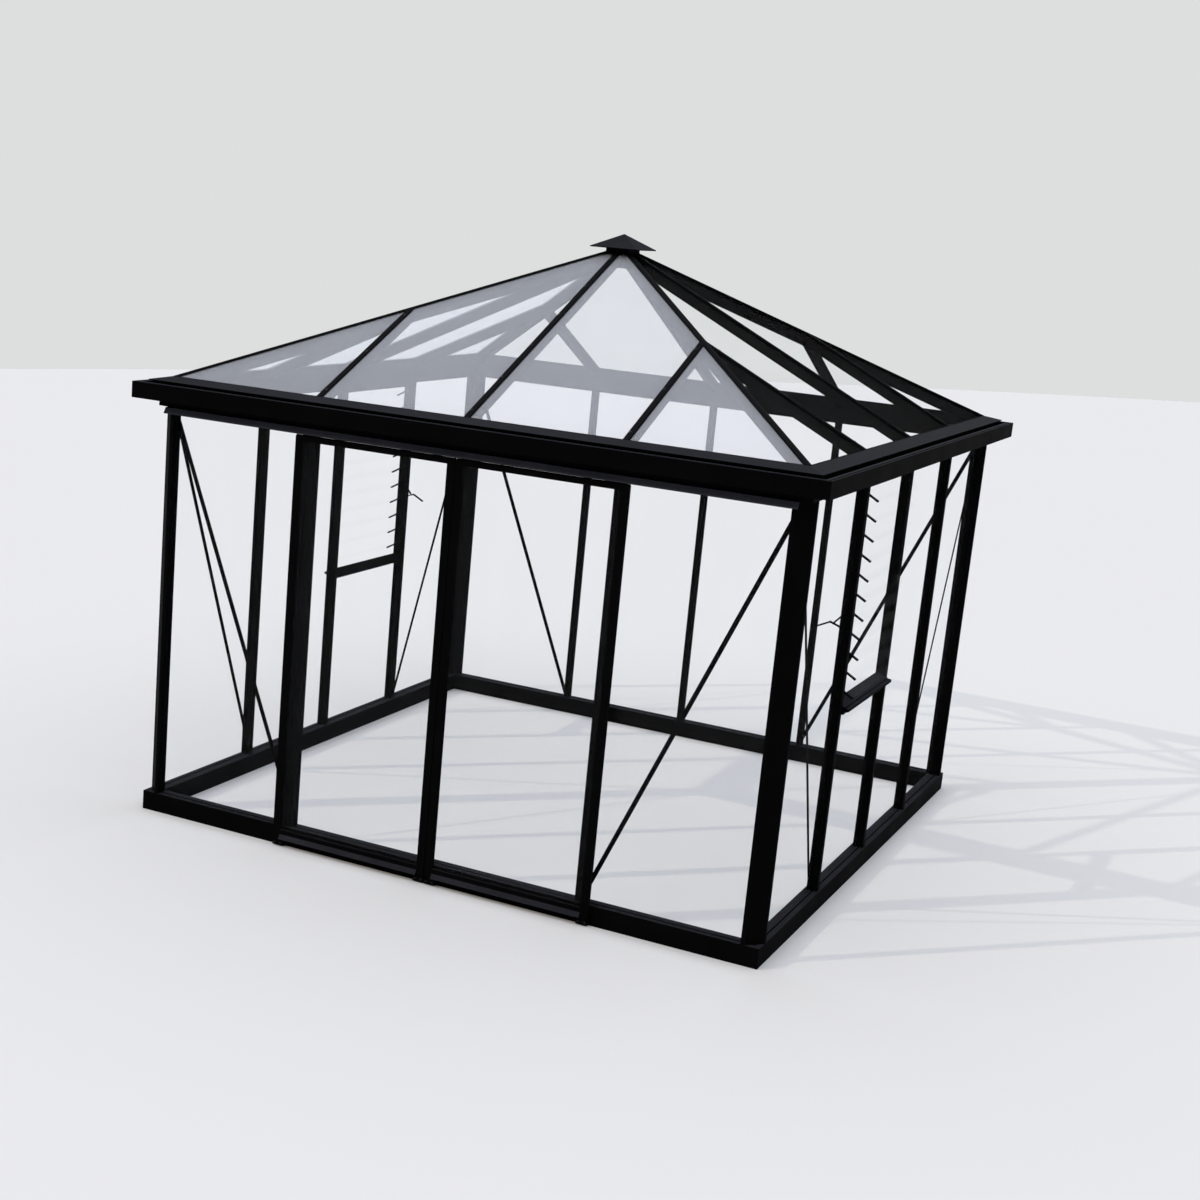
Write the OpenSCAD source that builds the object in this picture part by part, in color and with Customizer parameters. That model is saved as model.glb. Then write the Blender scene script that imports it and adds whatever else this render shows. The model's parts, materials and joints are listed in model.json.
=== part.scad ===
// Square glass greenhouse with a pyramid roof, two sliding door leaves and two louvre windows.
// Millimetres, +Z up. The origin is on the ground under the peak, and the doors face -Y.

/* [Walls] */
// Outer side of the square base frame
side = 3100; // [2700:10:3900]
// Distance between neighbouring wall posts
bay_pitch = 730; // [620:5:760]
// Height of the underside of the eaves beam above the ground
wall_h = 1930; // [1600:10:2400]
// Height of the base frame
base_h = 90; // [60:1:160]
// Width of the base frame, from its outer to its inner face
base_w = 70; // [60:1:110]

/* [Posts] */
// Width of a wall post
post_w = 28; // [22:1:50]
// Depth of a wall post
post_d = 50; // [38:1:70]
// Step from the base frame's outer face to a wall post's outer face
post_inset = 8; // [2:1:15]
// Length of a corner post's leg along each wall
corner_leg = 82; // [74:1:120]
// Width of the chamfer across a corner post's outer corner, measured along each wall
corner_chamfer = 66; // [30:1:66]
// Depth of a corner post behind each wall's outer face
corner_depth = 58; // [50:1:70]

/* [Glass] */
// Thickness of every pane
glass_t = 4; // [3:0.5:6]
// Step from the base frame's outer face to the wall glass
glass_inset = 26; // [20:1:30]
// Depth of the grooves that hold the wall glass
groove_depth = 8; // [6:1:10]
// Running gap on each side of a pane in its groove
glass_play = 0.3; // [0.2:0.05:0.6]
// Gap between a pane's edge and the bottom of its groove
glass_edge_gap = 2; // [1:0.5:4]

/* [Eaves] */
// Height of the eaves beam
beam_h = 120; // [80:1:180]
// Width of the eaves beam
beam_w = 60; // [50:1:90]
// How far the gutter stands out from the wall
gutter_out = 89; // [70:1:150]
// Height of the gutter's outer face
gutter_h = 74; // [60:1:110]
// Height of the gutter's underside above the eaves beam's underside
gutter_lift = 32; // [28:1:60]
// Wall thickness of the gutter
gutter_wall = 4; // [2:0.5:6]
// Width of the gutter's top lip
gutter_lip = 33; // [20:1:45]
// Distance from the eaves beam's top down to the gutter's back flange
gutter_back = 12; // [4:1:30]
// How far the sloped eaves cover reaches out over the gutter
cover_out = 37; // [25:1:50]
// Thickness of the eaves cover's free edge
cover_t = 4; // [3:0.5:8]
// Drop of the eaves cover from its upstand to its free edge
cover_fall = 18; // [8:1:30]

/* [Roof] */
// Slope of the roof, in degrees
roof_pitch = 25.85; // [18:0.05:35]
// Step from the wall's outer face in to the lower edge of the roof glass
roof_edge_in = 42; // [34:1:44]
// Height of the rafter tops over the eaves beam, at the lower edge of the roof glass
roof_edge_up = 17; // [16:0.5:30]
// Width of a rafter
rafter_w = 25; // [20:1:40]
// Depth of a rafter's body under the glass
rafter_body = 50; // [35:1:70]
// Thickness of the cap strip along the top of a rafter
rafter_cap = 5; // [3:0.5:8]
// Width of the web between two roof panes
rafter_web = 9; // [6:0.5:14]
// Width of a hip rafter
hip_w = 30; // [24:1:50]
// Depth of a hip rafter's body under the glass
hip_body = 58; // [40:1:80]
// Gap round the panes at the hub and at the eaves, and at the rafters' lower ends
roof_play = 0.3; // [0.2:0.05:0.6]
// Side of the square hub that gathers the rafters
hub_w = 124; // [100:1:200]
// Height of the hub above the rafter tops
hub_rise = 16; // [8:1:40]
// Least depth of the hub below the hip rafters
hub_below = 3; // [1:0.5:20]
// Side of the square cap on the hub
cap_w = 244; // [160:1:320]
// Height of the cap
cap_h = 70; // [40:1:120]
// Thickness of the cap's brim
cap_brim = 4; // [2:0.5:8]

/* [Doors] */
// How far a closed leaf reaches past the centre line of its post
leaf_lap = 64.5; // [30:0.5:90]
// Gap between the two closed leaves
leaf_gap = 5; // [5:0.5:12]
// Thickness of a door leaf
leaf_t = 17; // [14:1:17]
// Gap between the base frame's outer face and the back of a leaf
leaf_clear = 7; // [6:0.5:9]
// Height of a leaf's underside above the ground
leaf_low = 34; // [20:1:60]
// Width of a leaf's stiles
stile_w = 36; // [28:1:60]
// Height of a leaf's bottom rail
leaf_sill = 46; // [30:1:90]
// Height of a leaf's top rail
leaf_head = 20; // [16:1:60]
// Gap between a leaf's top and the underside of the track's ledge
leaf_top_gap = 5; // [5:0.5:8]
// How far the sloped drip strip stands out from a leaf
drip_out = 10; // [6:1:16]
// Height of the drip strip
drip_h = 24; // [14:1:40]
// Radius of a hanger wheel
wheel_r = 9; // [7:0.5:9]
// Width of a hanger wheel
wheel_w = 7; // [5:0.5:7]
// Running gap between a wheel and the track
wheel_play = 0.3; // [0.2:0.05:0.5]
// Distance from a leaf's edge to its hanger's centre
hanger_in = 90; // [60:1:200]
// Height of a hanger's plate above its axle
plate_rise = 6; // [4:0.5:8]
// Thickness of a hanger's plate
plate_t = 3; // [2:0.5:4]
// Width of a hanger's plate
plate_w = 40; // [24:1:80]
// Diameter of a guide pin under a stile
pin_d = 9; // [6:0.5:12]
// Length of a guide pin under a stile
pin_h = 16; // [8:1:18]

/* [Door track] */
// Step from the side of the building to each end of the hood
hood_in = 49; // [40:1:120]
// Depth of the track's flange below the eaves beam
track_drop = 32; // [30:1:34]
// Step from the wall's outer face to the track's flange
track_in = 2; // [1:0.5:4]
// Thickness of the track's sheet
track_t = 3; // [2:0.5:4]
// How far the track's ledge stands out from the wall
ledge_out = 12; // [11:0.5:12]
// How far the hood's lip stands out from the wall
hood_out = 32; // [31:0.5:40]
// How far the flat top of the hood stands out from the wall
hood_flat = 18; // [14:0.5:20]
// Fall of the hood's flat top below the eaves beam's underside
hood_fall = 2; // [1:0.5:4]
// Depth of the hood's lip below the eaves beam
hood_drop = 28; // [24:1:34]
// Thickness of the hood's sheet
hood_t = 2.5; // [1.5:0.25:3]
// Height of the hood's flange on the eaves beam
hood_flange = 26; // [16:1:27]

/* [Louvre windows] */
// Height of the underside of the louvre's sill above the ground
louvre_low = 904; // [700:1:1200]
// Width of the louvre frame's jambs
jamb_w = 16; // [12:1:30]
// Step from the wall's outer face to the louvre frame's outer face
louvre_inset = 10; // [4:1:16]
// Depth of the louvre frame
louvre_d = 36; // [30:1:46]
// Height of the louvre's sill rail at its outer edge
louvre_sill = 33; // [26:1:50]
// Slope of the sill's top, in degrees
sill_slope = 27.5; // [5:0.5:35]
// How far the sill's lip stands out from the wall
sill_lip = 22; // [12:1:40]
// Thickness of the sill's lip
sill_lip_t = 12; // [6:1:14]
// Height of the louvre's head rail
louvre_head = 22; // [16:1:26]
// Distance from the eaves beam down to the middle of the top blade
blade_down = 54; // [50:1:80]
// Distance between neighbouring blades
blade_pitch = 87.2; // [75:0.1:110]
// Depth of a blade
blade_d = 106; // [80:1:110]
// Angle of the open blades below the horizontal, in degrees
blade_tilt = 30; // [10:1:50]
// Step from the wall's outer face to the middle of a blade
blade_inset = 18; // [10:1:30]
// Gap between a blade's end and its jamb
blade_gap = 0.3; // [0.2:0.05:0.5]
// Height of the louvre lever's elbow above the ground
lever_z = 1303; // [1200:1:1500]
// Step from the wall post to the lever
lever_in = 2; // [1:0.5:6]
// Thickness of the lever's bars
lever_t = 7; // [4:0.5:10]
// Width of the lever along the wall
lever_w = 9; // [5:0.5:12]

/* [Braces] */
// Width of a flat brace
brace_w = 20; // [12:1:40]
// Thickness of a flat brace
brace_t = 3; // [2:0.5:6]
// Step from the wall's outer face to the braces
brace_inset = 50; // [40:1:52]
// Height of a brace's lower end above the base frame
brace_low = 10; // [2:1:80]
// Distance from a brace's upper end to the eaves beam
brace_high = 50; // [10:1:150]

/* [Hidden] */

frame_black = [0.05, 0.05, 0.06];
frame_grey = [0.18, 0.18, 0.2];
glass_blue = [0.75, 0.82, 0.88, 0.35];

$fn = 48;
half = side / 2;
beam_top = wall_h + beam_h;
groove_w = glass_t + 2 * glass_play;
groove_0 = glass_inset - glass_play;
groove_1 = groove_0 + groove_w;
pane_grip = groove_depth - glass_edge_gap;

// The roof's top planes all pass through one point above the centre
edge_r = half - roof_edge_in;
edge_z = beam_top + roof_edge_up;
apex_z = edge_z + edge_r * tan(roof_pitch);
hip_slope = atan(tan(roof_pitch) / sqrt(2));
hip_fall = tan(roof_pitch) / sqrt(2) * cos(hip_slope);
beam_in_r = half - beam_w;
pane_top = rafter_cap + glass_play;
pane_edge = rafter_web / 2 + glass_edge_gap;
hub_r = hub_w / 2;
hip_deep = rafter_cap + groove_w + hip_body;
hips_foot = apex_z - hub_r * sqrt(2) * tan(hip_slope) - hip_deep / cos(hip_slope);
// The hub's ends stand on round numbers, so that the cap sits on it exactly
hub_top = round(10 * (apex_z - hub_r * tan(roof_pitch) + hub_rise)) / 10;
hub_h = ceil(hub_top - hips_foot + hub_below);

// Doors, measured down from the eaves beam and out from the wall's outer face
ledge_top = wall_h - track_drop + track_t;
leaf_top = wall_h - track_drop - leaf_top_gap;
leaf_mid = leaf_clear + leaf_t / 2;
hood_end = half - hood_in;

// Louvre windows fill the second bay from the left, seen from outside
louvre_x0 = -bay_pitch + post_w / 2;
louvre_x1 = -post_w / 2;
louvre_back = louvre_inset + louvre_d;
sill_edge = louvre_low + louvre_sill;
sill_out = 4;
sill_back = sill_edge + (louvre_back + sill_out) * tan(sill_slope);
blade_top = wall_h - blade_down;
blade_low = sill_back + blade_d / 2 * sin(blade_tilt);
blade_last = floor((blade_top - blade_low) / blade_pitch);

// Side of the building: 0 front, 1 right, 2 back, 3 left
module on_side(k) {
    rotate([0, 0, 90 * k]) children();
}

// Extrudes an outline of (depth behind the wall's outer face, height) along the wall
module along_wall(x0, x1) {
    translate([x0, -half, 0]) rotate([90, 0, 90]) linear_extrude(x1 - x0) children();
}

// Keeps the part of a rail between the two diagonals of the plan
module mitred() {
    intersection() {
        children();
        linear_extrude(3 * wall_h) polygon([[0, 0], [side, -side], [-side, -side]]);
    }
}

// ---- base frame ----

module base_rail() {
    color(frame_black) mitred() along_wall(-half, half) polygon([
        [0, 0], [0, base_h], [groove_0, base_h], [groove_0, base_h - groove_depth],
        [groove_1, base_h - groove_depth], [groove_1, base_h], [base_w, base_h], [base_w, 0]
    ]);
}

// ---- posts ----

module corner_post() {
    groove_end = corner_leg - groove_depth;
    color(frame_black) translate([-half, -half, base_h]) linear_extrude(wall_h - base_h) polygon([
        [corner_chamfer, 0], [corner_leg, 0],
        [corner_leg, groove_0], [groove_end, groove_0], [groove_end, groove_1], [corner_leg, groove_1],
        [corner_leg, corner_depth], [corner_depth, corner_leg],
        [groove_1, corner_leg], [groove_1, groove_end], [groove_0, groove_end], [groove_0, corner_leg],
        [0, corner_leg], [0, corner_chamfer]
    ]);
}

module corner_posts() {
    for (k = [0:3]) on_side(k) corner_post();
}

module wall_post(x) {
    w = post_w / 2;
    web = w - groove_depth;
    back = post_inset + post_d;
    color(frame_black) translate([x, -half, base_h]) linear_extrude(wall_h - base_h) polygon([
        [-w, post_inset], [w, post_inset], [w, groove_0], [web, groove_0], [web, groove_1], [w, groove_1],
        [w, back], [-w, back], [-w, groove_1], [-web, groove_1], [-web, groove_0], [-w, groove_0]
    ]);
}

module three_posts() {
    for (i = [-1:1]) wall_post(i * bay_pitch);
}

module front_posts() {
    for (i = [-1, 1]) wall_post(i * bay_pitch);
}

// ---- eaves ----

module eaves_beam() {
    color(frame_black) mitred() along_wall(-half, half) polygon([
        [0, wall_h], [groove_0, wall_h], [groove_0, wall_h + groove_depth],
        [groove_1, wall_h + groove_depth], [groove_1, wall_h], [beam_w, wall_h],
        [beam_w, beam_top], [0, beam_top]
    ]);
}

module gutter() {
    low = wall_h + gutter_lift;
    high = low + gutter_h;
    t = gutter_wall;
    back_top = beam_top - gutter_back;
    lip_in = gutter_lip - gutter_out;
    bead = 9;
    flute = 7;
    flute_deep = 5;
    color(frame_black) mitred() along_wall(-half - gutter_out, half + gutter_out) polygon([
        [0, low], [0, back_top], [-t, back_top], [-t, low + t], [t - gutter_out, low + t],
        [t - gutter_out, high - flute_deep - t], [lip_in, high - flute_deep - t], [lip_in, high],
        [bead + flute - gutter_out, high], [bead + flute - gutter_out, high - flute_deep],
        [bead - gutter_out, high - flute_deep], [bead - gutter_out, high],
        [-gutter_out, high], [-gutter_out, low]
    ]);
}

// Sloped strip that carries the lower edge of the roof glass and sheds water into the gutter
module eaves_cover() {
    seat = pane_top + glass_t + glass_play;
    lip_out = 12;
    top_drop = 1;
    top_in = edge_z - top_drop;
    color(frame_grey) mitred() along_wall(-half - cover_out, half + cover_out) polygon([
        [0, beam_top], [roof_edge_in + lip_out, beam_top],
        [roof_edge_in + lip_out, edge_z + lip_out * tan(roof_pitch) - seat / cos(roof_pitch)],
        [roof_edge_in, edge_z - seat / cos(roof_pitch)], [roof_edge_in, top_in],
        [-cover_out, top_in - cover_fall], [-cover_out, top_in - cover_fall - cover_t]
    ]);
}

// ---- roof ----

// Cross-section of a rafter: x across, y up from the top of the cap. fall is the slope of the glass to each side
module rafter_section(w, body, fall) {
    t = rafter_cap * sqrt(1 + fall * fall);
    s = groove_w * sqrt(1 + fall * fall);
    a = w / 2;
    n = rafter_web / 2;
    polygon([
        [0, 0], [a, -a * fall], [a, -a * fall - t], [n, -n * fall - t], [n, -n * fall - t - s],
        [a, -a * fall - t - s], [a, -t - s - body], [-a, -t - s - body], [-a, -a * fall - t - s],
        [-n, -n * fall - t - s], [-n, -n * fall - t], [-a, -a * fall - t], [-a, -a * fall]
    ]);
}

// The cap and web alone, which run on over the eaves beam to the edge of the glass
module rafter_top_section(w, fall) {
    t = rafter_cap * sqrt(1 + fall * fall);
    s = groove_w * sqrt(1 + fall * fall);
    a = w / 2;
    n = rafter_web / 2;
    polygon([
        [0, 0], [a, -a * fall], [a, -a * fall - t], [n, -n * fall - t], [n, -n * fall - t - s], [0, -t - s],
        [-n, -n * fall - t - s], [-n, -n * fall - t], [-a, -a * fall - t], [-a, -a * fall]
    ]);
}

// Runs a section down from the peak at an angle to the plan's X axis
module down_slope(turn, slope) {
    translate([0, 0, apex_z]) rotate([0, 0, turn]) rotate([0, slope, 0]) rotate([90, 0, 90])
        linear_extrude(side) children();
}

module square_prism(r) {
    translate([-r, -r, 0]) cube([2 * r, 2 * r, 2 * apex_z]);
}

module rafter(x, turn, slope, w, body, fall) {
    union() {
        intersection() {
            translate([x, 0, 0]) down_slope(turn, slope) rafter_section(w, body, fall);
            square_prism(beam_in_r);
        }
        intersection() {
            translate([x, 0, 0]) down_slope(turn, slope) rafter_top_section(w, fall);
            square_prism(edge_r - roof_play);
        }
    }
}

module hip_rafters() {
    color(frame_black) for (k = [0:3]) on_side(k) difference() {
        rafter(0, -45, hip_slope, hip_w, hip_body, hip_fall);
        square_prism(hub_r);
    }
}

module centre_rafters() {
    color(frame_black) for (k = [0:3]) on_side(k) difference() {
        rafter(0, -90, roof_pitch, rafter_w, rafter_body, 0);
        square_prism(hub_r);
    }
}

// Everything beyond one side of the hip, in plan
module beyond_hip() {
    rotate([0, 0, -45]) translate([-side, -hip_w / 2, 0]) cube([3 * side, 2 * side, 2 * apex_z]);
}

module jack_rafter() {
    color(frame_black) difference() {
        rafter(bay_pitch, -90, roof_pitch, rafter_w, rafter_body, 0);
        beyond_hip();
    }
}

module jack_rafters() {
    for (k = [0:3]) on_side(k) {
        jack_rafter();
        mirror([1, 0, 0]) jack_rafter();
    }
}

module roof_hub() {
    color(frame_black) translate([-hub_r, -hub_r, hub_top - hub_h]) cube([hub_w, hub_w, hub_h]);
}

module cap_outline() {
    translate([0, cap_w / 2, hub_top]) rotate([90, 0, 0]) linear_extrude(cap_w) polygon([
        [-cap_w / 2, 0], [cap_w / 2, 0], [cap_w / 2, cap_brim], [0, cap_h], [-cap_w / 2, cap_brim]
    ]);
}

module roof_cap() {
    color(frame_grey) intersection() {
        cap_outline();
        rotate([0, 0, 90]) cap_outline();
    }
}

// Plan outlines of the two panes right of a roof face's centre line, as (x, distance from the middle)
function hip_side(r) = r - pane_edge * sqrt(2);

module roof_pane(outline) {
    intersection() {
        translate([0, 0, apex_z]) rotate([0, 0, -90]) rotate([0, roof_pitch, 0])
            translate([0, -side, -pane_top - glass_t]) cube([side, 2 * side, glass_t]);
        linear_extrude(2 * apex_z) polygon([for (p = outline) [p[0], -p[1]]]);
    }
}

module roof_half() {
    r0 = hub_r + roof_play;
    r1 = edge_r - roof_play;
    x0 = pane_edge;
    x1 = bay_pitch - pane_edge;
    x2 = bay_pitch + pane_edge;
    roof_pane([[x0, r0], [hip_side(r0), r0], [x1, x1 + r0 - hip_side(r0)], [x1, r1], [x0, r1]]);
    roof_pane([[x2, x2 + r0 - hip_side(r0)], [x2, r1], [hip_side(r1), r1]]);
}

module roof_glass() {
    color(glass_blue) {
        roof_half();
        mirror([1, 0, 0]) roof_half();
    }
}

// ---- wall glass ----

// A pane between two posts' side faces, from its lower to its upper seat
module wall_pane(x0, x1, z0, z1) {
    color(glass_blue) translate([x0 - pane_grip, -half + glass_inset, z0])
        cube([x1 - x0 + 2 * pane_grip, glass_t, z1 - z0]);
}

pane_low = base_h - groove_depth;
pane_high = wall_h + pane_grip;
bay_in = post_w / 2;

module corner_pane() {
    wall_pane(bay_pitch + bay_in, half - corner_leg, pane_low, pane_high);
}

module bay_pane(x, high) {
    wall_pane(x + bay_in, x + bay_pitch - bay_in, pane_low, high);
}

module corner_panes() {
    corner_pane();
    mirror([1, 0, 0]) corner_pane();
}

module back_panes() {
    corner_panes();
    bay_pane(-bay_pitch, pane_high);
    bay_pane(0, pane_high);
}

// The second bay of a side wall has its pane under the louvre
module side_panes() {
    corner_panes();
    bay_pane(-bay_pitch, louvre_low + pane_grip);
    bay_pane(0, pane_high);
}

// ---- door track and hood ----

module door_track() {
    low = wall_h - track_drop;
    end = half - corner_leg;
    color(frame_black) along_wall(-end, end) polygon([
        [track_in, wall_h], [track_in, ledge_top], [-ledge_out, ledge_top], [-ledge_out, low],
        [track_in + track_t, low], [track_in + track_t, wall_h]
    ]);
}

module door_hood() {
    t = hood_t;
    low = wall_h - hood_drop;
    edge = wall_h - hood_fall;
    rise = wall_h + hood_flange;
    color(frame_grey) along_wall(-hood_end, hood_end) polygon([
        [0, edge], [0, rise], [-t, rise], [-t, wall_h], [-hood_flat, edge], [-hood_out, low],
        [t - hood_out, low], [t - hood_flat, edge - t], [0, edge - t]
    ]);
}

// ---- door leaves, drawn for the right leaf and mirrored for the left ----

leaf_x0 = leaf_gap / 2;
leaf_x1 = bay_pitch + leaf_lap;
leaf_w = leaf_x1 - leaf_x0;
leaf_glass_y = -half - leaf_mid;

module leaf_slab(x0, x1, z0, z1) {
    translate([x0, -half - leaf_clear - leaf_t, z0]) cube([x1 - x0, leaf_t, z1 - z0]);
}

module leaf_pane_space(grip, gap) {
    t = glass_t + 2 * gap;
    translate([leaf_x0 + stile_w - grip, leaf_glass_y - t / 2, leaf_low + leaf_sill - grip])
        cube([leaf_w - 2 * stile_w + 2 * grip, t, leaf_top - leaf_head - leaf_low - leaf_sill + 2 * grip]);
}

module leaf_frame() {
    out = leaf_clear + leaf_t;
    root = 1;
    drip_edge = 2;
    color(frame_black) union() {
        difference() {
            leaf_slab(leaf_x0, leaf_x1, leaf_low, leaf_top);
            translate([leaf_x0 + stile_w, -half - 2 * out, leaf_low + leaf_sill])
                cube([leaf_w - 2 * stile_w, 2 * out, leaf_top - leaf_head - leaf_low - leaf_sill]);
            leaf_pane_space(groove_depth, glass_play);
        }
        along_wall(leaf_x0 + stile_w, leaf_x1 - stile_w) polygon([
            [root - out, leaf_low], [-out - drip_out, leaf_low], [-out - drip_out, leaf_low + drip_edge],
            [-out, leaf_low + drip_h], [root - out, leaf_low + drip_h]
        ]);
    }
}

module leaf_glass() {
    color(glass_blue) leaf_pane_space(pane_grip, 0);
}

// A hanger: an upright plate on top of the leaf, with the wheel on its inner side
module hanger(x) {
    root = 1;
    plate_y = -half - leaf_mid - plate_t / 2;
    axle_z = ledge_top + wheel_play + wheel_r;
    translate([x - plate_w / 2, plate_y, leaf_top]) cube([plate_w, plate_t, axle_z + plate_rise - leaf_top]);
    translate([x, plate_y + plate_t + wheel_w, axle_z]) rotate([90, 0, 0])
        cylinder(r = wheel_r, h = wheel_w + root);
}

module guide_pin(x) {
    translate([x, -half - leaf_mid, leaf_low - pin_h]) cylinder(d = pin_d, h = pin_h);
}

module leaf_hangers() {
    color(frame_grey) {
        hanger(leaf_x0 + hanger_in);
        hanger(leaf_x1 - hanger_in);
        for (x = [leaf_x0 + stile_w / 2, leaf_x1 - stile_w / 2]) guide_pin(x);
    }
}

// ---- louvre windows ----

module louvre_frame() {
    jamb_low = louvre_low + louvre_sill / 2;
    drip = 3;
    lip_top = sill_edge - sill_out / 2;
    lip_fall = 3;
    color(frame_black) union() {
        for (x = [louvre_x0, louvre_x1 - jamb_w]) along_wall(x, x + jamb_w) polygon([
            [louvre_inset, jamb_low], [louvre_back, jamb_low], [louvre_back, wall_h], [louvre_inset, wall_h]
        ]);
        along_wall(louvre_x0, louvre_x1) polygon([
            [louvre_inset, wall_h - louvre_head], [louvre_back, wall_h - louvre_head],
            [louvre_back, wall_h], [louvre_inset, wall_h]
        ]);
        along_wall(louvre_x0, louvre_x1) polygon([
            [0, louvre_low], [groove_0, louvre_low], [groove_0, louvre_low + groove_depth],
            [groove_1, louvre_low + groove_depth], [groove_1, louvre_low], [louvre_back, louvre_low],
            [louvre_back, sill_back], [-sill_out, sill_edge], [-sill_out, lip_top - 2 * drip],
            [-sill_out - drip, lip_top - 2 * drip], [-sill_out - drip, lip_top],
            [-sill_lip, lip_top - lip_fall], [-sill_lip, lip_top - lip_fall - sill_lip_t],
            [0, lip_top - lip_fall - sill_lip_t]
        ]);
    }
}

module blade_set() {
    x0 = louvre_x0 + jamb_w + blade_gap;
    x1 = louvre_x1 - jamb_w - blade_gap;
    color(glass_blue) for (i = [0:blade_last])
        translate([x0, -half + blade_inset, blade_top - i * blade_pitch]) rotate([blade_tilt, 0, 0])
            translate([0, -blade_d / 2, -glass_t / 2]) cube([x1 - x0, blade_d, glass_t]);
}

module louvre_blades() {
    for (k = [1, 3]) on_side(k) blade_set();
}

// A bar of the lever, drawn in its outline from one point to another
module lever_bar(a, b) {
    run = b - a;
    translate(a) rotate(atan2(run[1], run[0])) translate([0, -lever_t / 2]) square([norm(run), lever_t]);
}

// The lever's bracket, its two struts and its handle, as (depth behind the jamb, height from the elbow)
module louvre_lever() {
    bracket_d = 16;
    bracket_low = -26;
    bracket_h = 76;
    elbow = [64, 0];
    strut_end = [46, 0];
    tip = [122, -29];
    knob = lever_t + 2;
    x = louvre_x0 + lever_in;
    color(frame_grey) along_wall(x, x + lever_w) translate([louvre_back, lever_z]) union() {
        translate([0, bracket_low]) square([bracket_d, bracket_h]);
        lever_bar([bracket_d / 2, bracket_low + lever_t], elbow);
        lever_bar([bracket_d / 2, bracket_low + bracket_h - lever_t], strut_end);
        lever_bar(elbow, tip);
        for (p = [elbow, tip]) translate(p) circle(d = knob);
    }
}

module louvre_levers() {
    for (k = [1, 3]) on_side(k) louvre_lever();
}

// ---- braces ----

module brace() {
    x0 = bay_pitch + bay_in;
    x1 = half - corner_leg;
    z0 = base_h + brace_low;
    z1 = wall_h - brace_high;
    rise = atan((z1 - z0) / (x1 - x0));
    end_h = brace_w / cos(rise);
    color(frame_black) translate([0, -half + brace_inset + brace_t, 0]) rotate([90, 0, 0])
        linear_extrude(brace_t) polygon([[x0, z0], [x1, z1 - end_h], [x1, z1], [x0, z0 + end_h]]);
}

module wall_braces() {
    for (k = [0:3]) on_side(k) {
        brace();
        mirror([1, 0, 0]) brace();
    }
}

on_side(0) base_rail();  // base_front
on_side(1) base_rail();  // base_right
on_side(2) base_rail();  // base_back
on_side(3) base_rail();  // base_left
corner_posts();
front_posts();
on_side(1) three_posts();  // right_posts
on_side(2) three_posts();  // back_posts
on_side(3) three_posts();  // left_posts
on_side(0) eaves_beam();  // eaves_beam_front
on_side(1) eaves_beam();  // eaves_beam_right
on_side(2) eaves_beam();  // eaves_beam_back
on_side(3) eaves_beam();  // eaves_beam_left
on_side(0) gutter();  // gutter_front
on_side(1) gutter();  // gutter_right
on_side(2) gutter();  // gutter_back
on_side(3) gutter();  // gutter_left
for (k = [0, 2]) on_side(k) eaves_cover();  // eaves_covers_front_back
for (k = [1, 3]) on_side(k) eaves_cover();  // eaves_covers_sides
hip_rafters();
centre_rafters();
jack_rafters();
roof_hub();
roof_cap();
on_side(0) roof_glass();  // roof_glass_front
on_side(1) roof_glass();  // roof_glass_right
on_side(2) roof_glass();  // roof_glass_back
on_side(3) roof_glass();  // roof_glass_left
on_side(0) corner_panes();  // wall_glass_front
on_side(1) side_panes();  // wall_glass_right
on_side(2) back_panes();  // wall_glass_back
on_side(3) side_panes();  // wall_glass_left
door_track();
door_hood();
mirror([1, 0, 0]) leaf_frame();  // door_left_frame
mirror([1, 0, 0]) leaf_glass();  // door_left_glass
mirror([1, 0, 0]) leaf_hangers();  // door_left_hangers
leaf_frame();  // door_right_frame
leaf_glass();  // door_right_glass
leaf_hangers();  // door_right_hangers
on_side(1) louvre_frame();  // louvre_frame_right
on_side(3) louvre_frame();  // louvre_frame_left
louvre_blades();
louvre_levers();
wall_braces();
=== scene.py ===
"""Looks of the glass greenhouse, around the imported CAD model. Metres, +Z up, the doors face -Y."""

import json
import math

import bmesh
import bpy
from mathutils import Matrix, Vector


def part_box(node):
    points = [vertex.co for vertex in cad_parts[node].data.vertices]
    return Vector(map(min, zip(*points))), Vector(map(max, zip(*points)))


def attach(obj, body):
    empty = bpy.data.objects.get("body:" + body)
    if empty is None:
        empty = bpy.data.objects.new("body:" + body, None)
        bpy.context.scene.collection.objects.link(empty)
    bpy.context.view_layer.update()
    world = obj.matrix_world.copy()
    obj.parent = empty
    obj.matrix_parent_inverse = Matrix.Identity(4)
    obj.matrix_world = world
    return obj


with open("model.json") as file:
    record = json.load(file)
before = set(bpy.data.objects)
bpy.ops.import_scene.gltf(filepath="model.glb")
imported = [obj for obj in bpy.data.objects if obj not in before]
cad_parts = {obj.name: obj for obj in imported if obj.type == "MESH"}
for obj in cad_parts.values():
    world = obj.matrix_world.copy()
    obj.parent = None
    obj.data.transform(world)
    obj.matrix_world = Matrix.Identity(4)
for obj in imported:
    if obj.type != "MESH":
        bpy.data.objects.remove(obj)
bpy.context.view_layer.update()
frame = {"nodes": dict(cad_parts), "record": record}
nodes = frame["nodes"]
UP = Vector((0, 0, 1))
MM = 0.001

DOORS = ("door_left", "door_right")
GREENHOUSE = "greenhouse"


# ---- node trees ----

def node_tree(owner):
    """The owner's empty node tree."""
    owner.use_nodes = True
    owner.node_tree.nodes.clear()
    return owner.node_tree


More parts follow.
